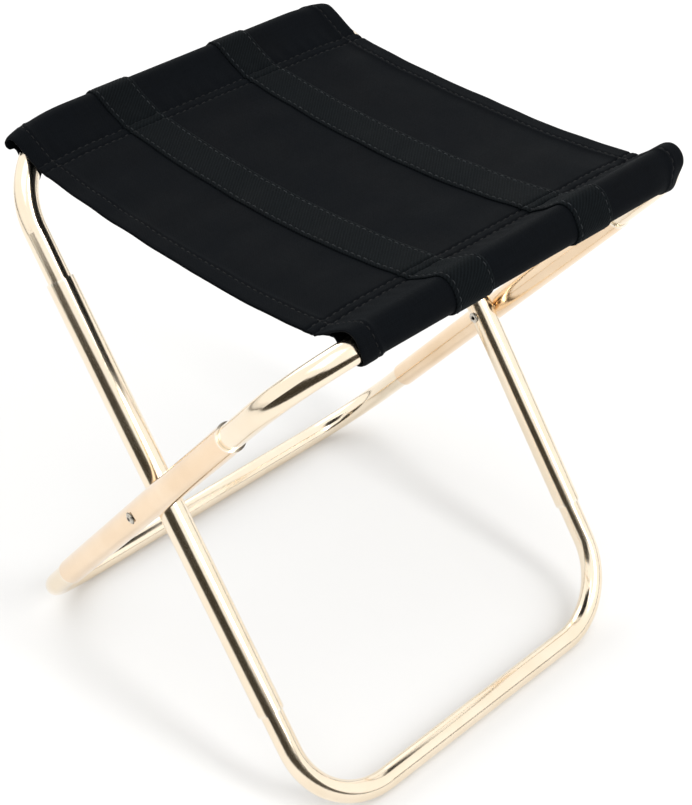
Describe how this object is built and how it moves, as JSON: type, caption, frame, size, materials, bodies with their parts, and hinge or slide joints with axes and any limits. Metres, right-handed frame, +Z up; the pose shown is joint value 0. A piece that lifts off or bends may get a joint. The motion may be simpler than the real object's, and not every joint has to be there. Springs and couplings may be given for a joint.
{
  "type": "folding camp stool",
  "caption": "Folding camp stool: crossed, gold anodised tube frames riveted at their pivots, with a slung black cloth seat.",
  "frame": {"origin": "on the floor, midway between the feet, under the middle of the open stool", "axes": "+X from the left top bar to the right top bar, +Y along the bars towards the far side, +Z up"},
  "size_m": [0.2166, 0.2412, 0.2719],
  "materials": {
    "tube_gold": "satin anodised",
    "rivet_steel": "satin",
    "seat_cloth": "plain woven, matte",
    "seat_webbing": "twill woven, matte"
  },
  "bodies": {
    "inner_frame": {"inner_top_tube": "tube_gold", "inner_floor_tube": "tube_gold", "inner_side_tube_near": "tube_gold", "inner_side_tube_far": "tube_gold", "pivot_rivet_near": "rivet_steel", "pivot_rivet_far": "rivet_steel"},
    "outer_frame": {"outer_top_tube": "tube_gold", "outer_floor_tube": "tube_gold", "outer_side_tube_near": "tube_gold", "outer_side_tube_far": "tube_gold"},
    "seat_left": {"seat_sleeve_left": "seat_cloth", "seat_panel_left": "seat_cloth", "web_near_left": "seat_webbing", "web_far_left": "seat_webbing", "hem_near_left": "seat_cloth", "hem_far_left": "seat_cloth"},
    "seat_right": {"seat_sleeve_right": "seat_cloth", "seat_panel_right": "seat_cloth", "web_near_right": "seat_webbing", "web_far_right": "seat_webbing", "hem_near_right": "seat_cloth", "hem_far_right": "seat_cloth"}
  },
  "joints": [
    {"name": "fold", "type": "hinge", "parent": "inner_frame", "child": "outer_frame", "pos_m": [0, 0, 0.13532], "axis": [0, -1, 0], "range_deg": [0, 69]},
    {"name": "seat_left_drop", "type": "hinge", "parent": "inner_frame", "child": "seat_left", "pos_m": [-0.10097, 0, 0.26456], "axis": [0, 1, 0], "range_deg": [0, 46.2], "deforming": ["seat_sleeve_left", "seat_panel_left", "web_near_left", "web_far_left", "hem_near_left", "hem_far_left"]},
    {"name": "seat_right_drop", "type": "hinge", "parent": "outer_frame", "child": "seat_right", "pos_m": [0.10097, 0, 0.26456], "axis": [0, -1, 0], "range_deg": [0, 46.2], "deforming": ["seat_sleeve_right", "seat_panel_right", "web_near_right", "web_far_right", "hem_near_right", "hem_far_right"]}
  ],
  "couplings": [
    {"joint": "seat_left_drop", "follows": "fold", "ratio": 0.6683},
    {"joint": "seat_right_drop", "follows": "fold", "ratio": 0.6683}
  ]
}
